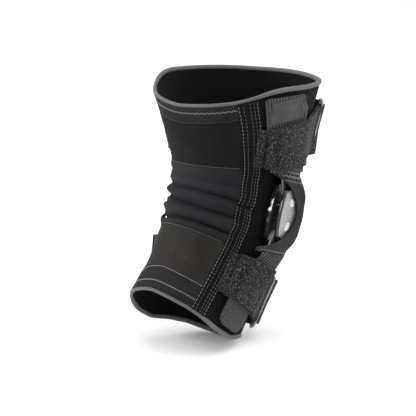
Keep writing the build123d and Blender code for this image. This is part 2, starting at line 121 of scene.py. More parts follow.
def size_at(u):
    """Half width, half depth and shift at a station."""
    return np.interp(u, FINE, FINE_A), np.interp(u, FINE, FINE_B), np.interp(u, FINE, FINE_C)


def limb(u, phi, lift=0.0):
    """Point at a station and an angle from the back (degrees, 90 lateral), lifted off the sleeve."""
    u, phi, lift = np.broadcast_arrays(np.asarray(u, float), np.radians(phi), np.asarray(lift, float))
    a, b, c = size_at(u)
    theta = HALF * (1 - np.clip(u / BEND_REACH, -1, 1))
    along = u - np.clip(u, -BEND_REACH, BEND_REACH)
    y0 = BEND_CENTRE[0] - BEND_R * np.cos(theta) - along * np.sin(theta)
    z0 = BEND_CENTRE[1] - BEND_R * np.sin(theta) + along * np.cos(theta)
    out = c + (b + lift) * np.cos(phi)
    return np.stack([-(a + lift) * np.sin(phi), y0 + out * np.cos(theta), z0 + out * np.sin(theta)], -1)


def hinge_point(x, y, z):
    """A point of the lateral hinge frame in the part's frame."""
    c, s = math.cos(HALF), math.sin(HALF)
    return np.stack(np.broadcast_arrays(-x, CENTRE[0] + y * c - z * s, CENTRE[1] + y * s + z * c), -1)


def in_hinge(points):
    """y and z of points in the hinge frame."""
    c, s = math.cos(HALF), math.sin(HALF)
    y, z = points[..., 1] - CENTRE[0], points[..., 2] - CENTRE[1]
    return y * c + z * s, -y * s + z * c


def folded(phi):
    """Angle from the back without its side, 0 to 180."""
    return np.abs((np.asarray(phi, float) + 180) % 360 - 180)


def eased(points, width):
    """A line through points with its corners rounded over a width."""
    xs, ys = np.array(points, float).T
    fine = np.linspace(xs[0] - 3 * width, xs[-1] + 3 * width, 600)
    reach = 3 * width / (fine[1] - fine[0])
    kernel = bell(np.arange(-int(reach), int(reach) + 1) / (reach / 3))
    padded = np.pad(np.interp(fine, xs, ys), int(reach), mode="edge")
    soft = np.convolve(padded, kernel / kernel.sum(), "valid")
    return lambda x: np.interp(x, fine, soft)


# station of the sleeve's edges by angle from the back, and the seam's angle by station
TOP_LINE = eased([(-30, 106.3), (0, 106.3), (28, 109.0), (46, 112.0), (57, 115.5), (68, 120),
                  (80, 121.8), (105, 119.5), (150, 116), (210, 116)], 6)
BOTTOM_LINE = eased([(-30, -119.8), (0, -119.8), (28, -122.5), (46, -124), (60, -126), (82, -129.5),
                     (103, -128.5), (120, -121), (140, -116), (210, -115)], 6)
SEAM_LINE = eased([(-150, 54), (-100, 55.5), (-46, 59), (0, 58.5), (40, 59.5), (88, 56),
                   (117, 51.5), (140, 51.5)], 8)


def top_edge(phi):
    """Top edge of the sleeve."""
    return TOP_LINE(folded(phi))


def bottom_edge(phi):
    """Bottom edge of the sleeve."""
    return BOTTOM_LINE(folded(phi))


def seam_at(u):
    """Angle of the seam at a station, wandering a little where the knee folds it."""
    u = np.asarray(u, float)
    return SEAM_LINE(u) + 1.1 * np.sin(u / 5.5) * bell((u + 8) / 30)


# ---- folds and creases --------------------------------------------------------------------------
# folds behind the knee: station, slope per degree, height (a crease is negative), width
FOLDS = [(21, -0.03, -1.3, 2.6), (30, 0.02, 0.9, 4.5), (12, -0.05, 1.6, 4.0), (4.0, -0.07, -4.2, 2.4),
         (-4.5, -0.08, 3.8, 5.0), (-14, -0.10, -5.2, 2.5), (-19, -0.02, -1.2, 1.6), (-26, -0.08, 4.8, 6.0),
         (-37, -0.04, -5.4, 2.4), (-42.5, -0.05, 4.2, 3.6)]


def crease_lift(u, phi):
    """Folds behind the bent knee, ripples along the sides, and slack in the panels."""
    u, phi = np.broadcast_arrays(np.asarray(u, float), (np.asarray(phi, float) + 180) % 360 - 180)
    behind = 1 - smooth((np.abs(phi) - 40) / 26)
    lift = np.zeros(u.shape)
    for at, slope, height, width in FOLDS:
        centre = at + slope * phi + 1.3 * np.sin(np.radians(phi * 2.7 + at * 9))
        lift += height * bell((u - centre) / width) * behind
    side = bell((np.abs(phi) - 62) / 20) * bell((u + 10) / 34)
    lift += 0.9 * np.sin(u / 2.6 + np.sin(phi / 9) * 1.3) * side
    front = smooth((np.abs(phi) - 105) / 40) * bell(u / 45)
    lift += 0.5 * np.sin(u / 6.0 + phi / 17) * front
    slack = smooth((np.abs(u) - 40) / 20) * (1 - smooth((np.abs(u) - 90) / 15))
    lift += slack * (0.5 * np.sin(u / 9 + phi / 11) + 0.5 * np.sin(u / 17 - phi / 13 + 1))
    return lift


def seam_dip(distance, depth=0.9, width=1.3):
    """A panel's surface rolls in towards a seam."""
    return -depth * bell(np.asarray(distance) / width)


# ---- meshes -------------------------------------------------------------------------------------
def new_object(name, verts, faces, uvs=None):
    """An object from millimetre points, with a millimetre UV map where given per vertex."""
    mesh = bpy.data.meshes.new(name)
    mesh.from_pydata((np.asarray(verts, float) * MM).tolist(), [], faces)
    if uvs is not None:
        layer = mesh.uv_layers.new(name="weave")
        index = np.empty(len(mesh.loops), int)
        mesh.loops.foreach_get("vertex_index", index)
        layer.data.foreach_set("uv", np.asarray(uvs, float)[index].ravel())
    mesh.polygons.foreach_set("use_smooth", [True] * len(mesh.polygons))
    mesh.validate()
    mesh.update()
    obj = bpy.data.objects.new(name, mesh)
    bpy.context.scene.collection.objects.link(obj)
    return obj


def grid_uv(points):
    """Arc lengths along both directions of a grid of points."""
    rows = np.linalg.norm(np.diff(points, axis=0), axis=-1).mean(axis=1)
    cols = np.linalg.norm(np.diff(points, axis=1), axis=-1).mean(axis=0)
    v = np.concatenate([[0], np.cumsum(rows)])
    u = np.concatenate([[0], np.cumsum(cols)])
    return np.stack(np.broadcast_arrays(u[None, :], v[:, None]), -1)


def shell_object(name, outer, inner, keep=None):
    """A closed skin between two grids of points. keep leaves out cells, such as an opening's."""
    n, m = outer.shape[:2]
    uv = grid_uv(outer)
    verts = np.concatenate([outer.reshape(-1, 3), inner.reshape(-1, 3)])
    uvs = np.concatenate([uv.reshape(-1, 2), uv.reshape(-1, 2)])
    cells = np.ones((n - 1, m - 1), bool) if keep is None else keep
    kept = np.pad(cells, 1)
    base = n * m
    faces = []
    for i, j in np.argwhere(cells).tolist():
        p, q, r, s = i * m + j, i * m + j + 1, (i + 1) * m + j + 1, (i + 1) * m + j
        faces.append((p, q, r, s))
        faces.append((base + s, base + r, base + q, base + p))
        edges = ((p, q), (q, r), (r, s), (s, p))
        neighbours = ((i, j + 1), (i + 1, j + 2), (i + 2, j + 1), (i + 1, j))
        for (a, b), beside in zip(edges, neighbours):
            if not kept[beside]:
                faces.append((b, a, base + a, base + b))
    used = sorted({v for f in faces for v in f})
    where = {v: k for k, v in enumerate(used)}
    faces = [tuple(where[v] for v in f) for f in faces]
    return new_object(name, verts[used], faces, uvs[used])


def tube_object(name, path, radii, sides=10, closed=True, swell=1.0):
    """A rounded cord along a path; radii is (across, along the up direction), times swell along it."""
    path = np.asarray(path, float)
    ahead = np.roll(path, -1, 0) - np.roll(path, 1, 0)
    if not closed:
        ahead[0], ahead[-1] = path[1] - path[0], path[-1] - path[-2]
    ahead /= np.linalg.norm(ahead, axis=1, keepdims=True)
    centre = path.mean(axis=0)
    out = path - centre
    out -= (out * ahead).sum(1, keepdims=True) * ahead
    out /= np.linalg.norm(out, axis=1, keepdims=True)
    up = np.cross(ahead, out)
    angle = np.linspace(0, 2 * math.pi, sides, endpoint=False)
    ring = (radii[0] * np.cos(angle)[None, :, None] * out[:, None, :]
            + radii[1] * np.sin(angle)[None, :, None] * up[:, None, :])
    points = path[:, None, :] + ring * np.broadcast_to(swell, len(path))[:, None, None]
    n = len(path)
    faces = []
    for i in range(n if closed else n - 1):
        for j in range(sides):
            after, beside = (i + 1) % n, (j + 1) % sides
            faces.append((i * sides + j, i * sides + beside, after * sides + beside, after * sides + j))
    if not closed:
        faces.append(tuple(range(sides)))
        faces.append(tuple(reversed(range((n - 1) * sides, n * sides))))
    steps = np.linalg.norm(np.diff(path, axis=0, prepend=path[:1]), axis=1).cumsum()
    uv = np.stack(np.broadcast_arrays(steps[:, None], angle[None, :] * radii[1]), -1)
    return new_object(name, points.reshape(-1, 3), faces, uv.reshape(-1, 2))


STITCH_RINGS = ((0.04, 0.45), (0.3, 1.0), (0.7, 1.0), (0.96, 0.45))   # share along, share of the radius
STITCH_SIDES = 6
ASKEW = (0.31, 0.77, 0.55)                   # a direction that no stitch runs along


def stitches_object(name, ends, radius):
    """Little rounded thread stitches, each from one point to another."""
    verts, faces = [], []
    sides, last = STITCH_SIDES, len(STITCH_RINGS) - 1
    for a, b in ends:
        a, b = np.asarray(a, float), np.asarray(b, float)
        along = (b - a) / np.linalg.norm(b - a)
        across = np.cross(along, ASKEW)
        across /= np.linalg.norm(across)
        other = np.cross(along, across)
        start = len(verts)
        for share, size in STITCH_RINGS:
            for k in range(sides):
                t = 2 * math.pi * k / sides
                spoke = math.cos(t) * across + math.sin(t) * other
                verts.append(a + (b - a) * share + radius * size * spoke)
        for ring in range(last):
            for k in range(sides):
                p, q = start + ring * sides + k, start + ring * sides + (k + 1) % sides
                faces.append((p, q, q + sides, p + sides))
        faces.append(tuple(start + k for k in reversed(range(sides))))
        faces.append(tuple(start + last * sides + k for k in range(sides)))
    return new_object(name, verts, faces)


def mirrored(obj, name):
    """The medial twin of a lateral piece."""
    twin = obj.copy()
    twin.data = obj.data.copy()
    twin.name = name
    bpy.context.scene.collection.objects.link(twin)
    points = np.empty(len(twin.data.vertices) * 3)
    twin.data.vertices.foreach_get("co", points)
    points[0::3] *= -1
    twin.data.vertices.foreach_set("co", points)
    twin.data.flip_normals()
    return twin


# ---- materials ----------------------------------------------------------------------------------
class Shader:
    """A node material being built: mat, and short calls that add and join nodes."""

    def __init__(self, name, roughness=0.85, metallic=0.0, sheen=0.0, coat=0.0, specular=0.4):
        self.mat = bpy.data.materials.new(name)
        self.mat.use_nodes = True
        self.tree = self.mat.node_tree
        self.bsdf = self.tree.nodes["Principled BSDF"]
        for socket, value in (("Roughness", roughness), ("Metallic", metallic), ("Sheen Weight", sheen),
                              ("Coat Weight", coat), ("Specular IOR Level", specular)):
            self.bsdf.inputs[socket].default_value = value

    def node(self, kind, **inputs):
        """A new node with its inputs set to values or joined to sockets."""
        node = self.tree.nodes.new(kind)
        for key, value in inputs.items():
            socket = node.inputs[key.replace("_", " ")]
            if isinstance(value, bpy.types.NodeSocket):
                self.tree.links.new(value, socket)
            else:
                socket.default_value = value
        return node

    def uv(self, along, across):
        """Millimetre weave coordinates, scaled in both directions."""
        source = self.tree.nodes.new("ShaderNodeUVMap")
        source.uv_map = "weave"
        return self.mapped(source.outputs["UV"], (along, across, 1))

    def place(self, scale=(1, 1, 1)):
        """Metre coordinates of the object."""
        return self.mapped(self.tree.nodes.new("ShaderNodeTexCoord").outputs["Object"], scale)

    def mapped(self, vector, scale):
        return self.node("ShaderNodeMapping", Vector=vector, Scale=scale).outputs["Vector"]

    def noise(self, vector, scale, detail=3.0, rough=0.6):
        node = self.node("ShaderNodeTexNoise", Vector=vector, Scale=scale, Detail=detail, Roughness=rough)
        return node.outputs[0]

    def wave(self, vector, scale, direction="X", distortion=0.0):
        """Even bands across a direction, 0 to 1."""
        node = self.node("ShaderNodeTexWave", Vector=vector, Scale=scale, Distortion=distortion)
        node.bands_direction = direction
        return node.outputs["Fac"]

    def math(self, operation, a, b):
        """A varying value changed by a number or by another value."""
        node = self.tree.nodes.new("ShaderNodeMath")
        node.operation = operation
        for socket, value in zip(node.inputs, (a, b)):
            if isinstance(value, bpy.types.NodeSocket):
                self.tree.links.new(value, socket)
            else:
                socket.default_value = value
        return node.outputs[0]

    def ramp(self, fac, stops):
        """A value turned into colours; stops are pairs of position and colour."""
        node = self.node("ShaderNodeValToRGB", Fac=fac)
        elements = node.color_ramp.elements
        while len(elements) < len(stops):
            elements.new(0.5)
        for element, (at, color) in zip(elements, stops):
            element.position = at
            element.color = (*color, 1)
        return node.outputs["Color"]

    def mix(self, fac, a, b, blend="MIX"):
        """Two colours blended by a factor."""
        node = self.tree.nodes.new("ShaderNodeMix")
        node.data_type, node.blend_type = "RGBA", blend
        for socket, value in ((node.inputs[0], fac), (node.inputs[6], a), (node.inputs[7], b)):
            if isinstance(value, bpy.types.NodeSocket):
                self.tree.links.new(value, socket)
            else:
                socket.default_value = value if isinstance(value, float) else (*value, 1)
        return node.outputs[2]

    def color(self, socket):
        """Gives the surface that varying colour."""
        self.tree.links.new(socket, self.bsdf.inputs["Base Color"])

    def rough(self, socket):
        """Gives the surface that varying roughness."""
        self.tree.links.new(socket, self.bsdf.inputs["Roughness"])

    def bump(self, height, distance, strength=1.0):
        """Adds relief of that depth in millimetres over any relief already there."""
        node = self.node("ShaderNodeBump", Height=height, Distance=distance * MM, Strength=strength)
        if self.bsdf.inputs["Normal"].is_linked:
            self.tree.links.new(self.bsdf.inputs["Normal"].links[0].from_socket, node.inputs["Normal"])
        self.tree.links.new(node.outputs["Normal"], self.bsdf.inputs["Normal"])


def shade(color, k):
    """The colour made darker or lighter."""
    return tuple(min(1.0, c * k) for c in color)


def knit_material(name, color, pitch=0.9, relief=0.35, flecks=0.5):
    """Fine jersey knit: columns of small stitches, heathered yarn, slight wear."""
    s = Shader(name, roughness=0.9, sheen=0.015, specular=0.07)
    columns = s.wave(s.uv(1 / pitch / 6.28, 1), math.pi, "X")
    rows = s.wave(s.uv(1, 1 / pitch / 5), math.pi, "Y", 1.0)
    stitch = s.math("MULTIPLY", columns, rows)
    heather = s.noise(s.uv(0.9, 0.5), 1.0, 4.0, 0.75)
    worn = s.noise(s.place(), 18.0, 3.0)
    yarn = s.ramp(heather, [(0.3, shade(color, 1 - flecks)), (0.55, color),
                            (0.75, shade(color, 1 + flecks * 1.6))])
    tone = s.ramp(worn, [(0.35, (0.82, 0.82, 0.82)), (0.65, (1.25, 1.25, 1.25))])
    s.color(s.mix(1.0, yarn, tone, "MULTIPLY"))
    s.bump(stitch, relief)
    s.bump(heather, 0.12)
    return s.mat


def pile_material(name, color, fleck):
    """Brushed loop pile: tangled short fibres, some catching the light."""
    s = Shader(name, roughness=0.95, sheen=0.06, specular=0.1)
    fibres = s.noise(s.uv(0.75, 1.15), 0.7, 5.0, 0.75)
    tufts = s.noise(s.uv(0.45, 0.3), 1.0, 3.0, 0.6)
    tangle = s.math("ADD", s.math("MULTIPLY", fibres, 0.75), s.math("MULTIPLY", tufts, 0.25))
    s.color(s.ramp(tangle, [(0.41, shade(color, 0.12)), (0.48, shade(color, 0.7)),
                            (0.54, shade(color, 2.2)), (0.61, fleck)]))
    s.bump(fibres, 0.8)
    s.bump(tufts, 0.9)
    return s.mat


def webbing_material(name, color, rib=2.0, relief=0.6, lengthwise="X"):
    """Woven elastic: raised ribs with painted shade in their thin valleys and a painted highlight on their
    crests, and a fine cross weave.
    """
    s = Shader(name, roughness=0.75, sheen=0.04, specular=0.2)
    scale, crosswise = ((1 / rib, 1), "Y") if lengthwise == "X" else ((1, 1 / rib), "X")
    ribs = s.wave(s.uv(*scale), 1 / 3.3, lengthwise)
    cross = s.wave(s.uv(1.3, 1.3), 0.5, crosswise, 0.4)
    yarn = s.noise(s.uv(2.2, 2.2), 1.0, 3.0, 0.7)
    # painted shade and highlight: the ribs' colour goes dark in the valleys and bright on the crests, where
    # light and shade fall on the relief
    base = s.ramp(ribs, [(0.1, shade(color, 0.25)), (0.5, color), (0.95, shade(color, 2.0))])
    s.color(s.mix(s.math("MULTIPLY", yarn, 0.45), base, shade(color, 0.5)))
    s.bump(ribs, relief)
    s.bump(cross, 0.15)
    s.bump(yarn, 0.12)
    return s.mat


def thread_material(name, color):
    """Twisted sewing thread."""
    s = Shader(name, roughness=0.6, sheen=0.2, specular=0.4)
    twist = s.noise(s.place((1500, 1500, 1500)), 1.0, 2.0)
    s.color(s.ramp(twist, [(0.3, shade(color, 0.6)), (0.7, shade(color, 1.15))]))
    return s.mat


def plastic_material(name, color, roughness, coat):
    """Moulded gloss plastic with a faint orange peel and hairline scuffs."""
    s = Shader(name, roughness=roughness, coat=coat, specular=0.5)
    peel = s.noise(s.place(), 900.0, 2.0)
    scuff = s.noise(s.place((90, 160, 120)), 1.0, 4.0, 0.7)
    s.color(s.ramp(scuff, [(0.45, color), (0.75, shade(color, 1.6))]))
    s.rough(s.ramp(scuff, [(0.5, (roughness,) * 3), (0.8, (roughness + 0.15,) * 3)]))
    s.bump(peel, 0.006)
    return s.mat


def metal_material(name, color, roughness, brush=(40, 1400, 1400)):
    """Brushed or drawn metal with fine lines and small handling marks."""
    s = Shader(name, roughness=roughness, metallic=1.0, specular=0.5)
    lines = s.noise(s.place(brush), 1.0, 3.0, 0.7)
    marks = s.noise(s.place(), 160.0, 4.0, 0.7)
    s.color(s.ramp(marks, [(0.35, shade(color, 0.82)), (0.6, color)]))
    s.rough(s.ramp(lines, [(0.3, (roughness * 0.7,) * 3), (0.7, (roughness * 1.35,) * 3)]))
    s.bump(lines, 0.02)
    return s.mat


def rubber_material(name, color):
    """Matt moulded rubber or foam skin with a fine grain."""
    s = Shader(name, roughness=0.75, specular=0.3)
    grain = s.noise(s.place(), 2200.0, 3.0)
    patch = s.noise(s.place(), 60.0, 3.0)
    s.color(s.ramp(patch, [(0.3, shade(color, 0.75)), (0.7, shade(color, 1.3))]))
    s.bump(grain, 0.06)
    return s.mat


MATERIALS = {
    "black_knit": knit_material("black_knit", (0.0100, 0.0095, 0.0100)),
    "grey_knit": knit_material("grey_knit", (0.020, 0.0205, 0.023), pitch=1.1, relief=0.45),
    "olive_knit": knit_material("olive_knit", (0.027, 0.0255, 0.0225)),
    "hem_knit": knit_material("hem_knit", (0.022, 0.0215, 0.022), flecks=0.7, relief=0.5),
    "neoprene": knit_material("neoprene", (0.0050, 0.0048, 0.0050), pitch=0.7, relief=0.2, flecks=0.4),
    "binding": webbing_material("binding", (0.13, 0.13, 0.132), rib=1.1, relief=0.35),
    "seam_tape": knit_material("seam_tape", (0.0060, 0.0058, 0.0060), pitch=0.7, relief=0.3),
    "webbing": webbing_material("webbing", (0.045, 0.042, 0.046), rib=3.0),
    "stretch_fabric": knit_material("stretch_fabric", (0.042, 0.039, 0.043), pitch=0.8, flecks=0.7),
    "strap_loop": pile_material("strap_loop", (0.0125, 0.012, 0.0125), (0.15, 0.145, 0.15)),
    "elastic_band": webbing_material("elastic_band", (0.018, 0.018, 0.019),
                                     rib=1.2, relief=0.4, lengthwise="Y"),
    "thread": thread_material("thread", (0.20, 0.20, 0.20)),
    "dim_thread": thread_material("dim_thread", (0.07, 0.07, 0.07)),
    "dark_thread": thread_material("dark_thread", (0.008, 0.008, 0.008)),
    "red_thread": thread_material("red_thread", (0.30, 0.02, 0.03)),
    "badge_rubber": rubber_material("badge_rubber", (0.040, 0.040, 0.042)),
    "foam": rubber_material("foam", (0.02, 0.02, 0.021)),
    "hinge_black": plastic_material("hinge_black", (0.007, 0.007, 0.007), 0.13, 0.6),
    # painted reflection: the face plate's light grey stands for a bright light mirrored in its glossy dark
    # face, and it stays grey in every view
    "hinge_face": metal_material("hinge_face", (0.40, 0.40, 0.41), 0.5),
    "rivet_steel": metal_material("rivet_steel", (0.62, 0.62, 0.62), 0.3, brush=(300, 300, 300)),
    "arm_aluminium": metal_material("arm_aluminium", (0.70, 0.70, 0.71), 0.32),
    "ring_metal": metal_material("ring_metal", (0.26, 0.26, 0.27), 0.34, brush=(700, 700, 90)),
}


def finish_with(obj, material):
    """Gives a piece its material."""
    obj.data.materials.clear()
    obj.data.materials.append(MATERIALS[material])
    return obj


def blend_thigh(obj):
    """Bakes the piece's placement into its mesh."""
    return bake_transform(obj)


def blend_shin(obj):
    """Bakes the piece's placement into its mesh."""
    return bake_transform(obj)


# ---- sleeve -------------------------------------------------------------------------------------
SEAM = 59.0                                  # grid lines at this angle follow the seam
BACK = np.linspace(-SEAM, SEAM, 141)
FRONT = np.linspace(SEAM, 360 - SEAM, 201)
TOP_HEM, BOTTOM_HEM = 18.0, 24.5
HALVINGS = 30


def mid_station(phi):
    """Station where the sleeve crosses the hinge's middle plane at that angle."""
    low, high = np.full(np.shape(phi), -40.0), np.full(np.shape(phi), 40.0)
    for _ in range(HALVINGS):
        mid = (low + high) / 2
        above = in_hinge(limb(mid, phi))[1] > 0
        low, high = np.where(above, low, mid), np.where(above, mid, high)
    return (low + high) / 2


def warped(base, u):
    """Angle of a panel's grid line at a station. Lines at SEAM follow the seam."""
    seam = seam_at(u)
    front = 180 + (base - 180) * (180 - seam) / (180 - SEAM)
    return np.where(np.abs(base) <= SEAM, base * seam / SEAM, front)


def panel(name, base, low_line, high_line, rows, dips=()):
    """A sleeve panel between two station lines. dips are station lines the surface rolls in to."""
    share = np.linspace(0, 1, rows)[:, None]
    low, high = (line(warped(base, line(base))) for line in (low_line, high_line))
    u = low[None, :] * (1 - share) + high[None, :] * share
    phi = warped(base[None, :], u)
    lift = crease_lift(u, phi)
    for line in dips:
        lift = lift + seam_dip(u - line(phi))
    edge = np.minimum(base - base[0], base[-1] - base)
    lift = lift + seam_dip(edge[None, :] * 1.1, 0.5, 1.5)
    return shell_object(name, limb(u, phi, lift), limb(u, phi, lift - SLEEVE_T))


def insert_top(phi):
    """Upper edge of the insert behind the knee."""
    return 37.5 + 0.05 * np.asarray(phi, float)


def insert_bottom(phi):
    """Lower edge of the insert behind the knee."""
    return -47.5 - 0.05 * np.asarray(phi, float)


def top_hem(phi):
    """Lower edge of the thigh hem."""
    return top_edge(phi) - TOP_HEM


def bottom_hem(phi):
    """Upper edge of the shin hem."""
    return bottom_edge(phi) + BOTTOM_HEM


def back_panels():
    """Hem, upper panel, insert and lower panel behind the leg, split at the hinge's middle plane."""
    thigh, shin = blend_thigh, blend_shin
    rows = [
        ("thigh_hem", top_hem, top_edge, 22, [top_hem], "hem_knit", thigh, None),
        ("thigh_back", insert_top, top_hem, 64, [top_hem, insert_top], "black_knit", thigh,
         "thigh_back_panel"),
        ("popliteal_upper", mid_station, insert_top, 60, [insert_top], "grey_knit", thigh, "popliteal_panel"),
        ("popliteal_lower", insert_bottom, mid_station, 70, [insert_bottom], "grey_knit", shin, None),
        ("shin_back", bottom_hem, insert_bottom, 60, [insert_bottom, bottom_hem], "olive_knit", shin,
         "shin_back_panel"),
        ("shin_hem", bottom_edge, bottom_hem, 30, [bottom_hem], "hem_knit", shin, None)]
    for name, low, high, count, dips, material, follow, node in rows:
        obj = panel(name, BACK, low, high, count, dips)
        finish_with(obj, material)
        follow(obj)
        if node:
            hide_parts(node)


PATELLA_AT, PATELLA_HALF = 2.0, (25.0, 27.0)  # the kneecap opening in the hinge frame
PULLS = 12                                   # steps that bring the grid onto the opening's edge


def opening_share(u, phi):
    """Distance from the kneecap opening's centre as a share of its size."""
    points = limb(u, phi)
    z = in_hinge(points)[1]
    return np.hypot(points[..., 0] / PATELLA_HALF[0], (z - PATELLA_AT) / PATELLA_HALF[1])


def level(station):
    """Line at one station all round."""
    return lambda phi: np.full(np.shape(phi), station)


def front_half(name, low_line, high_line, rows):
    """Half of the knee's front, its grid pulled onto the opening's edge."""
    share = np.linspace(0, 1, rows)[:, None]
    u = low_line(FRONT)[None, :] * (1 - share) + high_line(FRONT)[None, :] * share
    phi = warped(FRONT[None, :], u)
    inside = opening_share(u, phi) < 1
    cells = ~(inside[:-1, :-1] & inside[1:, :-1] & inside[:-1, 1:] & inside[1:, 1:])
    centre = mid_station(np.array([180.0]))[0] + PATELLA_AT
    for _ in range(PULLS):
        scale = 1 + 0.5 * (1 / np.maximum(opening_share(u, phi), 1e-6) - 1)
        u = np.where(inside, centre + (u - centre) * scale, u)
        phi = np.where(inside, 180 + (phi - 180) * scale, phi)
    lift = crease_lift(u, phi) - 0.8 * bell((opening_share(u, phi) - 1) / 0.12)
    outer, inner = limb(u, phi, lift), limb(u, phi, lift - SLEEVE_T)
    return shell_object(name, outer, inner, cells)


FRONT_JOIN = 40.0


def front_panels():
    """Neoprene panels from tape to tape across the front, with the kneecap opening."""
    above, below = level(FRONT_JOIN), level(-FRONT_JOIN)
    made = [
        (panel("thigh_front", FRONT, above, top_edge, 60), blend_thigh, "thigh_front_panel"),
        (front_half("knee_front_upper", mid_station, above, 34), blend_thigh, "knee_front_panel"),
        (front_half("knee_front_lower", below, mid_station, 34), blend_shin, None),
        (panel("shin_front", FRONT, bottom_edge, below, 60), blend_shin, "shin_front_panel")]
    for obj, follow, node in made:
        finish_with(obj, "neoprene")
        follow(obj)
        if node:
            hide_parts(node)


def edge_path(line, phis, lift):
    """Points along one of the sleeve's edges."""
    return limb(line(phis), phis, lift + crease_lift(line(phis), phis))


def bindings():
    """Folded elastic binding rolled over the top and bottom edges, thicker at the sides."""
    phis = np.linspace(0, 360, 300, endpoint=False)
    swell = 1 + 0.45 * smooth((folded(phis) - 48) / 30)
    for limb_name, line in (("thigh", top_edge), ("shin", bottom_edge)):
        path = edge_path(line, phis, -1.1)
        obj = tube_object(f"{limb_name}_binding_roll", path, (1.7, 1.6), 14, True, swell)
        finish_with(obj, "binding")
        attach(obj, limb_name)
        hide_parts(f"{limb_name}_binding")


# ---- seam tapes and stitches --------------------------------------------------------------------
TAPE_HALF = 7.8
STITCH, STITCH_GAP = 2.6, 1.1
# rows of stitches on the tape, in degrees from its middle: edge rows and inner rows
EDGE_ROWS, INNER_ROWS = (-6.6, 6.4), (-3.4, 1.2, 3.9)
TAPE_STITCHING = (("edge", EDGE_ROWS, "thread"), ("inner", INNER_ROWS, "dim_thread"))


def tape_lift(offset):
    """Lift of the tape's face at an angle from its middle, with a channel along every stitch row."""
    edge = TAPE_HALF - np.abs(offset)
    channels = sum(bell((np.asarray(offset) - at) / 0.55) for at in EDGE_ROWS + INNER_ROWS)
    return 1.4 - 0.9 * bell(edge / 0.9) - 0.45 * channels


def tape_end(line, offset):
    """Station where the tape's long line at an offset from its middle meets an end line."""
    return line(seam_at(line(np.array(SEAM))) + offset)


def tape_half(name, low_line, high_line, rows, side):
    """The tape above or below the middle plane. side is 1 for lateral and -1 for medial."""
    offsets = np.linspace(-TAPE_HALF, TAPE_HALF, 53) * side
    share = np.linspace(0, 1, rows)[:, None]
    low, high = tape_end(low_line, offsets), tape_end(high_line, offsets)
    u = low[None, :] * (1 - share) + high[None, :] * share
    phi = side * (seam_at(u) + offsets[None, :])
    bed = crease_lift(u, phi)
    return shell_object(name, limb(u, phi, bed + tape_lift(offsets)[None, :]), limb(u, phi, bed + 0.1))


def tape_row(offset, u_from, u_to, side):
    """Ends of the stitches along the tape at one angle from its middle."""
    ends = []
    u = u_from
    while u + STITCH < u_to:
        pair = np.array([u, u + STITCH])
        phi = side * (seam_at(pair) + offset)
        ends.append(limb(pair, phi, crease_lift(pair, phi) + tape_lift(offset) + 0.2))
        u += STITCH + STITCH_GAP
    return ends


def tape_top(phi):
    """Upper end of a seam tape."""
    return top_edge(phi) - 1.5


def tape_bottom(phi):
    """Lower end of a seam tape."""
    return bottom_edge(phi) + 1.5


def tapes():
    """The stitched tape over each seam, and its rows of stitches."""
    halves = [("upper", mid_station, tape_top, blend_thigh, ("thigh_tape", "knee_tape")),
              ("lower", tape_bottom, mid_station, blend_shin, ("shin_tape",))]
    for half, low, high, follow, nodes in halves:
        for side_name, side in (("lateral", 1), ("medial", -1)):
            tape = tape_half(f"{side_name}_tape_{half}", low, high, 120, side)
            made = [(tape, "seam_tape")]
            for kind, offsets, material in TAPE_STITCHING:
                ends = []
                for offset in offsets:
                    start, stop = float(tape_end(low, offset)), float(tape_end(high, offset))
                    ends += tape_row(offset, start + 0.6, stop - 0.6, side)
                name = f"{side_name}_tape_{kind}_stitches_{half}"
                made.append((stitches_object(name, ends, 0.3), material))
            for obj, material in made:
                follow(finish_with(obj, material))
            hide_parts(*[f"{side_name}_{node}" for node in nodes])


ROW_REACH = 50.0                             # rows of stitches across the back end at this angle


def seam_row(line, offset, step, rise, lift=0.25, gap=0.0):
    """Stitches across the back along a line: a zig-zag where rise isn't 0."""
    ends = []
    phi, up = -ROW_REACH, True
    while phi + step < ROW_REACH:
        pair = np.array([phi, phi + step])
        heights = np.array([0.0, rise]) if up else np.array([rise, 0.0])
        u = line(pair) + offset + heights
        ends.append(limb(u, pair, crease_lift(u, pair) + lift))
        phi += step + gap
        up = not up
    return ends


def hem_stitches():
    """Zig-zag stitching in both hems and the sewn lines between the back panels."""
    sewn = {"gap": 0.5, "lift": -0.4}
    rows = [("thigh_hem_zigzag", seam_row(top_edge, -8.5, 1.9, 1.8), "thread", blend_thigh),
            ("thigh_hem_seam", seam_row(top_hem, 0.4, 1.9, 0.0, gap=0.5, lift=-0.5), "dark_thread",
             blend_thigh),
            ("insert_top_seam", seam_row(insert_top, 0.4, 1.9, 0.0, **sewn), "dim_thread", blend_thigh),
            ("insert_bottom_seam", seam_row(insert_bottom, -0.4, 1.9, 0.0, **sewn), "dim_thread", blend_shin),
            ("shin_hem_seam", seam_row(bottom_hem, 0.0, 2.2, 0.0, gap=0.3, lift=0.0), "thread", blend_shin),
            ("shin_hem_zigzag", seam_row(bottom_edge, 9.0, 2.1, 1.5), "thread", blend_shin)]
    for name, ends, material, follow in rows:
        follow(finish_with(stitches_object(f"{name}_stitches", ends, 0.34), material))


# ---- pockets, straps, bands ---------------------------------------------------------------------
BED = 1.9                                    # lift of a pocket that lies on the sleeve
ARM_ROOM, ARM_FADE = 0.9, 9.0                # webbing over an arm, and past its end
ARM_REACH = {False: 104.0, True: 112.0}      # where the thigh's and the shin's webbing settles again


def arm_need(u, shin):
    """Lift that clears the arm at a station."""
    z = u if shin else u + CORNER[1]
    line = np.array(SHIN_ARM if shin else THIGH_ARM, float)
    far = np.interp(z, line[:, 0], line[:, 1]) + ARM_T + ARM_ROOM
    need = np.maximum(far - size_at(u)[0] - BED, 0)
    return need * (1 - smooth((np.abs(z) - ARM_REACH[shin]) / ARM_FADE))


def lateral(phi):
    """The same angle on the lateral side."""
    phi = np.asarray(phi, float)
    return np.where(phi > 180, 360 - phi, phi)


TENT, TENT_SLOPE = (61.0, 100.0), 18.0       # webbing rises from the first angle, falls from the second


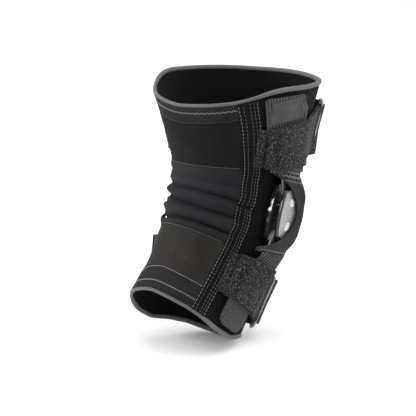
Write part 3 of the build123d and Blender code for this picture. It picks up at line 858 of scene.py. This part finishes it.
def tent(u, phi, shin):
    """How far webbing over the arm stands off the sleeve, falling away to both sides."""
    phi = lateral(phi)
    share = smooth((phi - TENT[0]) / TENT_SLOPE) * (1 - smooth((phi - TENT[1]) / TENT_SLOPE))
    return arm_need(u, shin) * share


def pocket_centre(u, shin):
    """Angle of the pocket's middle at a station: it slants forward towards the hinge."""
    if shin:
        return np.interp(u, [-100, -54, -36], [91, 94.5, 101])
    return np.interp(u, [44, 117], [88.5, 80])


POCKET_HALF = 17.0                           # degrees each side of its middle
POCKET_ENDS = {"thigh": (38.5, 115.0), "shin": (-123.5, -33.0)}


def round_corners(amount, edge, radius):
    """How far a strip's end is pulled in near its long edges to round its corners."""
    away = np.clip(1 - edge / radius, 0, 1)
    return radius * (1 - np.sqrt(1 - away**2)) * amount


def pocket(name, u_low, u_high, shin):
    """Ribbed webbing channel over one arm, its outer end rounded."""
    offsets = np.linspace(-POCKET_HALF, POCKET_HALF, 61)
    edge = (POCKET_HALF - np.abs(offsets)) * math.radians(size_at((u_low + u_high) / 2)[0])
    share = np.linspace(0, 1, 90)[:, None]
    low = u_low + round_corners(1.0 if shin else 0.0, edge, 10.0)
    high = u_high - round_corners(0.0 if shin else 0.6, edge, 6.0)
    u = low[None, :] * (1 - share) + high[None, :] * share
    phi = pocket_centre(u, shin) + offsets[None, :]
    ends = np.minimum(u - low[None, :], high[None, :] - u)
    lift = BED + tent(u, phi, shin) + 0.3 * np.sin(u / 5) * smooth(edge / 8)[None, :]
    thin = 0.5 * bell(edge / 1.0)[None, :] + 0.4 * bell(ends / 1.0)
    outer = limb(u, phi, lift + POCKET_T - thin)
    inner = limb(u, phi, lift + thin)
    return shell_object(name, outer, inner)


def pocket_face(u, phi, shin):
    """Lift of the pocket's outer face."""
    return BED + tent(u, phi, shin) + POCKET_T


def pocket_stitches(name, u_low, u_high, shin):
    """Rows of stitches inside the pocket's long edges and across its end."""
    ends = []
    for offset in (-POCKET_HALF + 1.8, POCKET_HALF - 1.8):
        for u in np.arange(u_low + 8, u_high - 8, STITCH + STITCH_GAP):
            pair = np.array([u, u + STITCH])
            phi = pocket_centre(pair, shin) + offset
            ends.append(limb(pair, phi, pocket_face(pair, phi, shin) + 0.1))
    across = u_low + 4.0 if shin else u_high - 4.0
    for row in (0.0, 3.2 if shin else -3.2):
        for offset in np.arange(-POCKET_HALF + 5, POCKET_HALF - 6, 2.6):
            u = np.full(2, across + row)
            phi = pocket_centre(u, shin) + np.array([offset, offset + 1.9])
            ends.append(limb(u, phi, pocket_face(u, phi, shin) + 0.1))
    return stitches_object(name, ends, 0.28)


def trim(name, shin):
    """Thin coloured stitch line and its cord on the sleeve ahead of the pocket, beyond the strap."""
    stations = np.arange(-118.0, -99.0, 2.9) if shin else np.arange(89.0, 112.0, 2.9)
    ahead = pocket_centre(stations, shin) + POCKET_HALF
    ends = []
    for u, phi in zip(stations, ahead + 4.2):
        pair = np.array([u, u + 2.1])
        ends.append(limb(pair, phi, crease_lift(pair, phi) + 0.35))
    path = limb(stations, ahead + 1.6, crease_lift(stations, ahead) + 0.5)
    cord = tube_object(f"{name}_cord", path, (0.55, 0.55), 8, False)
    return stitches_object(f"{name}_stitches", ends, 0.38), cord


def under_strap(u, phi, shin):
    """Lift of whatever the strap lies on: sleeve, tape or pocket."""
    phi = lateral(phi)
    offset = np.abs(phi - pocket_centre(u, shin))
    over = 1 - smooth((offset - POCKET_HALF) / 5)
    return 1.6 + tent(u, phi, shin) + 2.1 * over


RING_LIFT, BAR_R = 8.0, 1.5                  # the ring's bars over the sleeve
DIP_AT, DIP, DIP_WIDTH = 105.0, 1.7, 2.4     # a strap sags past the pocket's edge
# station of the middle, tilt, angles of root, free end and ring
STRAPS = {"thigh": (65.9, 5.0, 67.5, 75.0, 140.0), "shin": (-76.0, 0.0, 67.5, 76.0, 141.0)}


def strap_path(u_mid, root, free_end, ring_at):
    """The strap's middle line with its turn round the bar.

    Rows of angle, lift over what it lies on, the share of that bed it follows, and its own lift."""
    radius = size_at(u_mid)[1] * math.radians(1)
    turn = BAR_R + 0.25 + STRAP_T / 2
    low, high = RING_LIFT - turn, RING_LIFT + turn + 0.8
    rows = []
    for t in np.linspace(0, 1, 46):
        phi = root + (ring_at - root) * t
        rows.append((phi, STRAP_T / 2 + 0.2, 1 - smooth((phi - ring_at + 9) / 9), low))
    for t in np.linspace(0, math.pi, 15)[1:-1]:
        lift = (low + high) / 2 - (high - low) / 2 * math.cos(t)
        rows.append((ring_at + 1.3 * turn * math.sin(t) / radius, 0, 0, lift))
    for t in np.linspace(0, 1, 60):
        phi = ring_at + (free_end - ring_at) * t
        dip = DIP * bell((phi - DIP_AT) / DIP_WIDTH)
        rows.append((phi, STRAP_T * 1.5 + 0.5 - dip, 1 - smooth((phi - ring_at + 8) / 8), high))
    return np.array(rows)


def across_strap(phi, u_mid, tilt, count):
    """Offsets across a tilted strap and the stations of its grid."""
    across = np.linspace(-STRAP_W / 2, STRAP_W / 2, count)
    phi = np.broadcast_to(phi[:, None], (len(phi), count))
    drop = math.tan(math.radians(tilt)) * size_at(u_mid)[1] * np.cos(np.radians(phi))
    return across, phi, u_mid + across[None, :] - drop


def grid_normals(middle):
    """Unit normals of a grid of points."""
    normal = np.cross(np.gradient(middle, axis=0), np.gradient(middle, axis=1))
    return normal / np.linalg.norm(normal, axis=-1, keepdims=True)


def strap(name, u_mid, tilt, root, free_end, ring_at, shin):
    """Hook-and-loop strap: sewn end, over the pocket, round the ring's bar and back on itself."""
    rows = strap_path(u_mid, root, free_end, ring_at)
    across, phi, u = across_strap(rows[:, 0], u_mid, tilt, 33)
    lying = under_strap(u, phi, shin) + rows[:, 1][:, None]
    lift = lying * rows[:, 2][:, None] + rows[:, 3][:, None] * (1 - rows[:, 2][:, None])
    lift = lift + 0.18 * np.sin(phi / 3.3 + across[None, :] / 7)
    middle = limb(u, phi, lift)
    normal = grid_normals(middle)
    outward = limb(u[:1], phi[:1], lift[:1] + 1) - middle[:1]
    if (normal[0] * outward[0]).sum() < 0:
        normal = -normal
    edge = np.minimum(across - across[0], across[-1] - across)
    ends = np.minimum(np.arange(len(rows)), len(rows) - 1 - np.arange(len(rows)))
    half = STRAP_T / 2 * (1 - 0.45 * bell(edge / 0.9))[None, :] * (1 - 0.5 * bell(ends / 0.8))[:, None]
    return shell_object(name, middle + normal * half[..., None], middle - normal * half[..., None])


BAND_T, BAND_LIFT, BAND_LAP = 1.6, 1.3, 13.0  # the lap is in degrees
RING_SPAN = 15.0                             # between a ring's bars


def band_path(u_mid, ring_at):
    """Angles and lifts of the band's middle line: lapped end, turn round the bar, and the front."""
    radius = size_at(u_mid)[1] * math.radians(1)
    start = ring_at + RING_SPAN / radius
    turn = BAR_R + 0.25 + BAND_T / 2
    half = []
    for t in np.linspace(0, 1, 16):
        half.append((start + BAND_LAP * (1 - t), 3.4 + (RING_LIFT + turn - 3.4) * smooth(t * 1.1)))
    for t in np.linspace(0, math.pi, 11)[1:-1]:
        half.append((start - turn * math.sin(t) / radius, RING_LIFT + turn * math.cos(t)))
    for t in np.linspace(0, 1, 30):
        phi = start + (180 - start) * t
        settled = smooth((phi - start) / BAND_LAP)
        half.append((phi, BAND_LIFT + (RING_LIFT - turn - BAND_LIFT) * (1 - settled)))
    return np.array(half + [(360 - phi, lift) for phi, lift in reversed(half[:-1])])


def front_band(name, u_mid, tilt, ring_at):
    """Elastic band across the front, its ends doubled round the rings' front bars."""
    rows = band_path(u_mid, ring_at)
    across, phi, u = across_strap(rows[:, 0], u_mid, tilt, 31)
    middle = limb(u, phi, np.broadcast_to(rows[:, 1][:, None], phi.shape))
    normal = grid_normals(middle)
    edge = np.minimum(across - across[0], across[-1] - across)
    thick = 0.75 * (1 - 0.4 * bell(edge / 0.9))[None, :, None]
    return shell_object(name, middle + normal * thick, middle - normal * thick)


def loop_pad(name, u_mid, tilt, root):
    """Soft pile patch on the tape behind the strap's sewn end."""
    us = np.linspace(u_mid - STRAP_W / 2 + 1, u_mid + STRAP_W / 2 - 1, 40)
    phis = np.linspace(root - 7.0, root + 1.5, 14)
    u, phi = np.meshgrid(us, phis, indexing="ij")
    u = u - math.tan(math.radians(tilt)) * size_at(u_mid)[1] * np.cos(np.radians(phi))
    edge = np.minimum(phi - phis[0], phis[-1] - phi)
    lift = crease_lift(u, phi) + 2.7 - 0.7 * bell(edge / 0.6)
    return shell_object(name, limb(u, phi, lift), limb(u, phi, crease_lift(u, phi) + 1.2))


def both_ride(obj, body, node=None):
    """Rides a lateral piece and its medial twin; node is the CAD node's name without its side."""
    twin = mirrored(obj, obj.name.replace("lateral", "medial"))
    for piece, side in ((obj, "lateral"), (twin, "medial")):
        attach(piece, body)
        if node:
            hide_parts(f"{side}_{node}")


def webbing_and_straps():
    """Pockets, straps and front bands with their medial twins."""
    for limb_name, shin in (("thigh", False), ("shin", True)):
        ends = POCKET_ENDS[limb_name]
        u_mid, tilt, root, free_end, ring_at = STRAPS[limb_name]
        tag = f"lateral_{limb_name}"
        red, cord = trim(f"{tag}_trim", shin)
        channel = pocket(f"{tag}_pocket_webbing", *ends, shin)
        channel_stitches = pocket_stitches(f"{tag}_pocket_stitches", *ends, shin)
        band = strap(f"{tag}_strap_webbing", u_mid, tilt, root, free_end, ring_at, shin)
        patch = loop_pad(f"{tag}_loop_patch", u_mid, tilt, root)
        made = [(channel, "webbing", "webbing", f"{limb_name}_pocket"),
                (channel_stitches, "dim_thread", "webbing", None),
                (band, "strap_loop", "strap_loop", f"{limb_name}_strap"),
                (patch, "strap_loop", "strap_loop", f"{limb_name}_loop_pad"),
                (red, "red_thread", "binding", None),
                (cord, "binding", "binding", None)]
        for obj, material, slot, node in made:
            both_ride(finish_with(obj, material), limb_name, node)
        front = front_band(f"{limb_name}_band_webbing", u_mid, tilt, ring_at)
        finish_with(front, "elastic_band")
        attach(front, limb_name)
        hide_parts(f"{limb_name}_front_band")


# ---- strip in front of the hinge ----------------------------------------------------------------
WINDOW, BOW = 35.0, 42.0                     # half lengths of the window and of the outward bow
OUT, BOW_OUT = 71.0, 5.6                     # distance out at the ends, and what the bow adds
RIM_Y, RIM_DEPTH = 24.0, 30.8                # rear edge at the window's ends, and its reach forward
SHOULDER_Y, SHOULDER_TAPER = -18.3, 15.0
FOOT_ANGLE, FOOT_TAPER = 128.0, 17.0
SHOULDER_AT = 0.45                           # share of the way from the window to the sleeve
CURL = 0.045                                 # how fast the rear edge turns in over the pockets


def bridge_section(z, t):
    """Point of the strip at a height in the hinge frame, t from 0 at the window to 1 at the sleeve."""
    taper = smooth((np.abs(z) - 14) / 32)
    rim_y = RIM_Y - RIM_DEPTH * np.maximum(0, 1 - (z / WINDOW) ** 2)
    shoulder_y = SHOULDER_Y + SHOULDER_TAPER * taper
    behind_y = rim_y + (shoulder_y - rim_y) * t / SHOULDER_AT
    curl = CURL * np.maximum(0, behind_y - 8) ** 2
    out = OUT + BOW_OUT * np.maximum(0, 1 - (z / BOW) ** 4) - curl * smooth((np.abs(z) - 18) / 14)
    foot = limb(z, FOOT_ANGLE - FOOT_TAPER * taper, 0.6)
    foot_y, foot_x = in_hinge(foot)[0], -foot[..., 0]
    ahead_y = shoulder_y + (foot_y - shoulder_y) * (t - SHOULDER_AT) / (1 - SHOULDER_AT)
    round_off = smooth(np.clip((t - 0.33) / 0.67, 0, 1)) * (1 - 0.18 * np.sin(math.pi * t))
    return out + (foot_x - out) * round_off, np.where(t > SHOULDER_AT, ahead_y, behind_y)


def bridge_half(name, z_low, z_high):
    """The strip above or below the middle plane, with a rolled rim at the window and soft ripples."""
    zs = np.linspace(z_low, z_high, 46)
    ts = np.linspace(0, 1, 41)
    z, t = np.meshgrid(zs, ts, indexing="ij")
    x, y = bridge_section(z, t)
    x = x + 0.7 * bell(t / 0.05)
    ripple = 0.35 * np.sin(z / 4.2 + t * 4) * smooth(t * 4) * (1 - smooth((t - 0.75) * 4))
    outer = hinge_point(x + ripple, y, z)
    inner = hinge_point(x + ripple - 1.3, y + 0.5 * t, z)
    return shell_object(name, outer[:, ::-1], inner[:, ::-1])


def bridges():
    """Smooth fabric joining the two pockets in front of the hinge."""
    halves = (("upper", 0.0, 47.0, blend_thigh), ("lower", -39.0, 0.0, blend_shin))
    for half, low, high, follow in halves:
        obj = finish_with(bridge_half(f"lateral_bridge_{half}", low, high), "stretch_fabric")
        twin = mirrored(obj, f"medial_bridge_{half}")
        follow(obj)
        follow(twin)
    for side in ("lateral", "medial"):
        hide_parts(f"{side}_pocket_bridge")


def bridge_row(z, t_from, t_to, rise):
    """Stitches across the strip at a height in the hinge frame, zig-zag where rise isn't 0."""
    ends = []
    up = True
    for t in np.arange(t_from, t_to, 0.03):
        pair = np.array([t, t + 0.027])
        heights = z + (np.array([0.0, rise]) if up else np.array([rise, 0.0]))
        x, y = bridge_section(heights, pair)
        ends.append(hinge_point(x + 0.35, y, heights))
        up = not up
    return ends


def bartacks():
    """Zig-zag rows that sew the strip to the pockets above and below the window."""
    groups = [("upper", [(42.5, 2.6), (38.5, 2.6), (34.5, 2.6), (31.5, 0.0)], blend_thigh),
              ("lower", [(-36.5, 0.0)], blend_shin)]
    for half, rows, follow in groups:
        ends = [end for z, rise in rows for end in bridge_row(z, 0.04, 0.62, rise)]
        obj = stitches_object(f"lateral_bartack_{half}_stitches", ends, 0.36)
        finish_with(obj, "thread")
        follow(mirrored(obj, obj.name.replace("lateral", "medial")))
        follow(obj)


# ---- small pieces -------------------------------------------------------------------------------
BADGE_STATIONS, BADGE_ANGLES = (90.5, 111.5), (68.5, 93.0)


def badge():
    """Blank moulded patch with a raised border on the thigh pocket."""
    base = np.linspace(*BADGE_STATIONS, 43)
    phis = np.linspace(*BADGE_ANGLES, 71)
    u, phi = np.meshgrid(base, phis, indexing="ij")
    slant = 0.12 * (phi - np.mean(BADGE_ANGLES))
    from_end = np.minimum(u - base[0], base[-1] - u)
    from_side = np.minimum(phi - phis[0], phis[-1] - phi) * 1.3
    edge = np.minimum(from_end, from_side)
    u = u + slant
    lift = pocket_face(u, phi, False) + 0.1
    top = lift + 1.2 - 0.8 * bell(edge / 0.5) + 0.5 * bell((edge - 2.0) / 0.7)
    obj = shell_object("lateral_badge_patch", limb(u, phi, top), limb(u, phi, lift - 0.3))
    both_ride(finish_with(obj, "badge_rubber"), "thigh", "badge")


def buttress():
    """Padded ring inside the kneecap opening."""
    t = np.linspace(0, 2 * math.pi, 120, endpoint=False)
    centre = mid_station(np.array([180.0]))[0] + PATELLA_AT
    size = (PATELLA_HALF[0] + 6, PATELLA_HALF[1] + 6)
    z = centre + size[1] * np.sin(t)
    radius = size_at(centre)[0]
    phi = 180 + np.degrees(np.arcsin(size[0] * np.cos(t) / radius))
    path = limb(z, phi, -SLEEVE_T - 2.2)
    obj = finish_with(tube_object("kneecap_buttress", path, (5.0, 2.2), 16), "foam")
    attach(obj, "lateral_hinge")
    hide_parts("patella_buttress")


PAD_X, PAD_HALF, PAD_T = 60.1, (17.0, 26.0), 2.5


def condyle_pads():
    """Moulded foam pad between the sleeve and each hinge, with a groove inside its rounded edge."""
    across, up = np.meshgrid(np.linspace(-1, 1, 41), np.linspace(-1, 1, 61))
    y = PAD_HALF[0] * across * (1 - 0.30 * up ** 2)
    z = PAD_HALF[1] * up * (1 - 0.08 * across ** 2)
    edge = np.minimum((1 - np.abs(across)) * PAD_HALF[0], (1 - np.abs(up)) * PAD_HALF[1])
    rounded = np.sqrt(1 - (1 - np.clip(edge / 1.8, 0, 1)) ** 2)
    half = PAD_T / 2 * (0.2 + 0.8 * rounded) - 0.4 * bell((edge - 4.0) / 0.8)
    pad = shell_object("lateral_foam_pad", hinge_point(PAD_X + half, y, z), hinge_point(PAD_X - half, y, z))
    finish_with(pad, "foam")
    twin = mirrored(pad, "medial_foam_pad")
    for piece, side in ((pad, "lateral"), (twin, "medial")):
        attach(piece, f"{side}_hinge")
        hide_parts(f"{side}_condyle_pad")


def hinges():
    """The CAD hinge parts keep their shape and get their finishes."""
    finishes = {"inner_cover": "hinge_black", "outer_cover": "hinge_black", "face_plate": "hinge_face",
                "pivot_rivets": "rivet_steel", "upper_arm": "arm_aluminium", "lower_arm": "arm_aluminium",
                "thigh_ring": "ring_metal", "shin_ring": "ring_metal"}
    for side in ("lateral", "medial"):
        for node, material in finishes.items():
            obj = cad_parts[f"{side}_{node}"]
            obj.data.materials.clear()
            obj.data.materials.append(MATERIALS[material])


# ---- stage, light, camera -----------------------------------------------------------------------
AZIMUTH, ELEVATION = math.radians(223), math.radians(14)
DISTANCE, VIEW_WIDTH = 2.0, 0.4035           # metres
AIM_RIGHT, AIM_UP = -0.0252, -0.0029         # the middle of the view, off the origin


FLOOR_HALF = 40.0                            # metres


def stage():
    """Pale floor and a soft world."""
    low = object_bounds()[0][2]
    mesh = bpy.data.meshes.new("floor")
    corners = [(x * FLOOR_HALF, y * FLOOR_HALF, low) for x, y in ((-1, -1), (1, -1), (1, 1), (-1, 1))]
    mesh.from_pydata(corners, [], [(0, 1, 2, 3)])
    floor = bpy.data.objects.new("floor", mesh)
    bpy.context.scene.collection.objects.link(floor)
    s = Shader("floor", roughness=0.9)
    s.color(s.ramp(s.noise(s.place(), 3.0), [(0.3, (0.86, 0.86, 0.86)), (0.7, (0.88, 0.88, 0.88))]))
    mesh.materials.append(s.mat)
    floor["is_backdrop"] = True
    world = bpy.data.worlds.new("studio")
    world.use_nodes = True
    background = world.node_tree.nodes["Background"]
    background.inputs["Color"].default_value = (1, 1, 1, 1)
    background.inputs["Strength"].default_value = 0.95
    bpy.context.scene.world = world
    bpy.context.scene.view_settings.view_transform = "Standard"


def area_light(name, place, size, power):
    """A soft round light aimed at the object."""
    data = bpy.data.lights.new(name, "AREA")
    data.shape, data.size, data.energy = "DISK", size, power
    obj = bpy.data.objects.new(name, data)
    bpy.context.scene.collection.objects.link(obj)
    obj.location = place
    obj.rotation_euler = look(-np.array(place))


def look(direction):
    """Rotation that points -Z along a direction, with +Y up."""
    x, y, z = direction / np.linalg.norm(direction)
    return (math.acos(-z), 0.0, -math.atan2(x, y))


def camera():
    """Camera behind the leg and to its outer side."""
    back = np.array([math.sin(AZIMUTH) * math.cos(ELEVATION), -math.cos(AZIMUTH) * math.cos(ELEVATION),
                     math.sin(ELEVATION)])
    right = np.array([math.cos(AZIMUTH), math.sin(AZIMUTH), 0])
    up = np.cross(back, right)
    target = AIM_RIGHT * right + AIM_UP * up
    data = bpy.data.cameras.new("camera")
    data.lens, data.sensor_width = 36 * DISTANCE / VIEW_WIDTH, 36
    data.clip_end = 100
    obj = bpy.data.objects.new("camera", data)
    bpy.context.scene.collection.objects.link(obj)
    obj.location = target + DISTANCE * back
    obj.rotation_euler = look(-back)
    bpy.context.scene.camera = obj


def lights():
    """A soft key from behind and the side, a rim light and a weak front light."""
    area_light("key", (-1.2, 0.4, 1.6), 1.6, 22)
    area_light("rim", (1.5, 1.1, 0.6), 1.0, 42)
    area_light("front", (-0.5, -1.6, 0.9), 1.4, 14)


camera()
lights()
back_panels()
front_panels()
bindings()
tapes()
hem_stitches()
webbing_and_straps()
bridges()
bartacks()
badge()
buttress()
condyle_pads()
hinges()
stage()
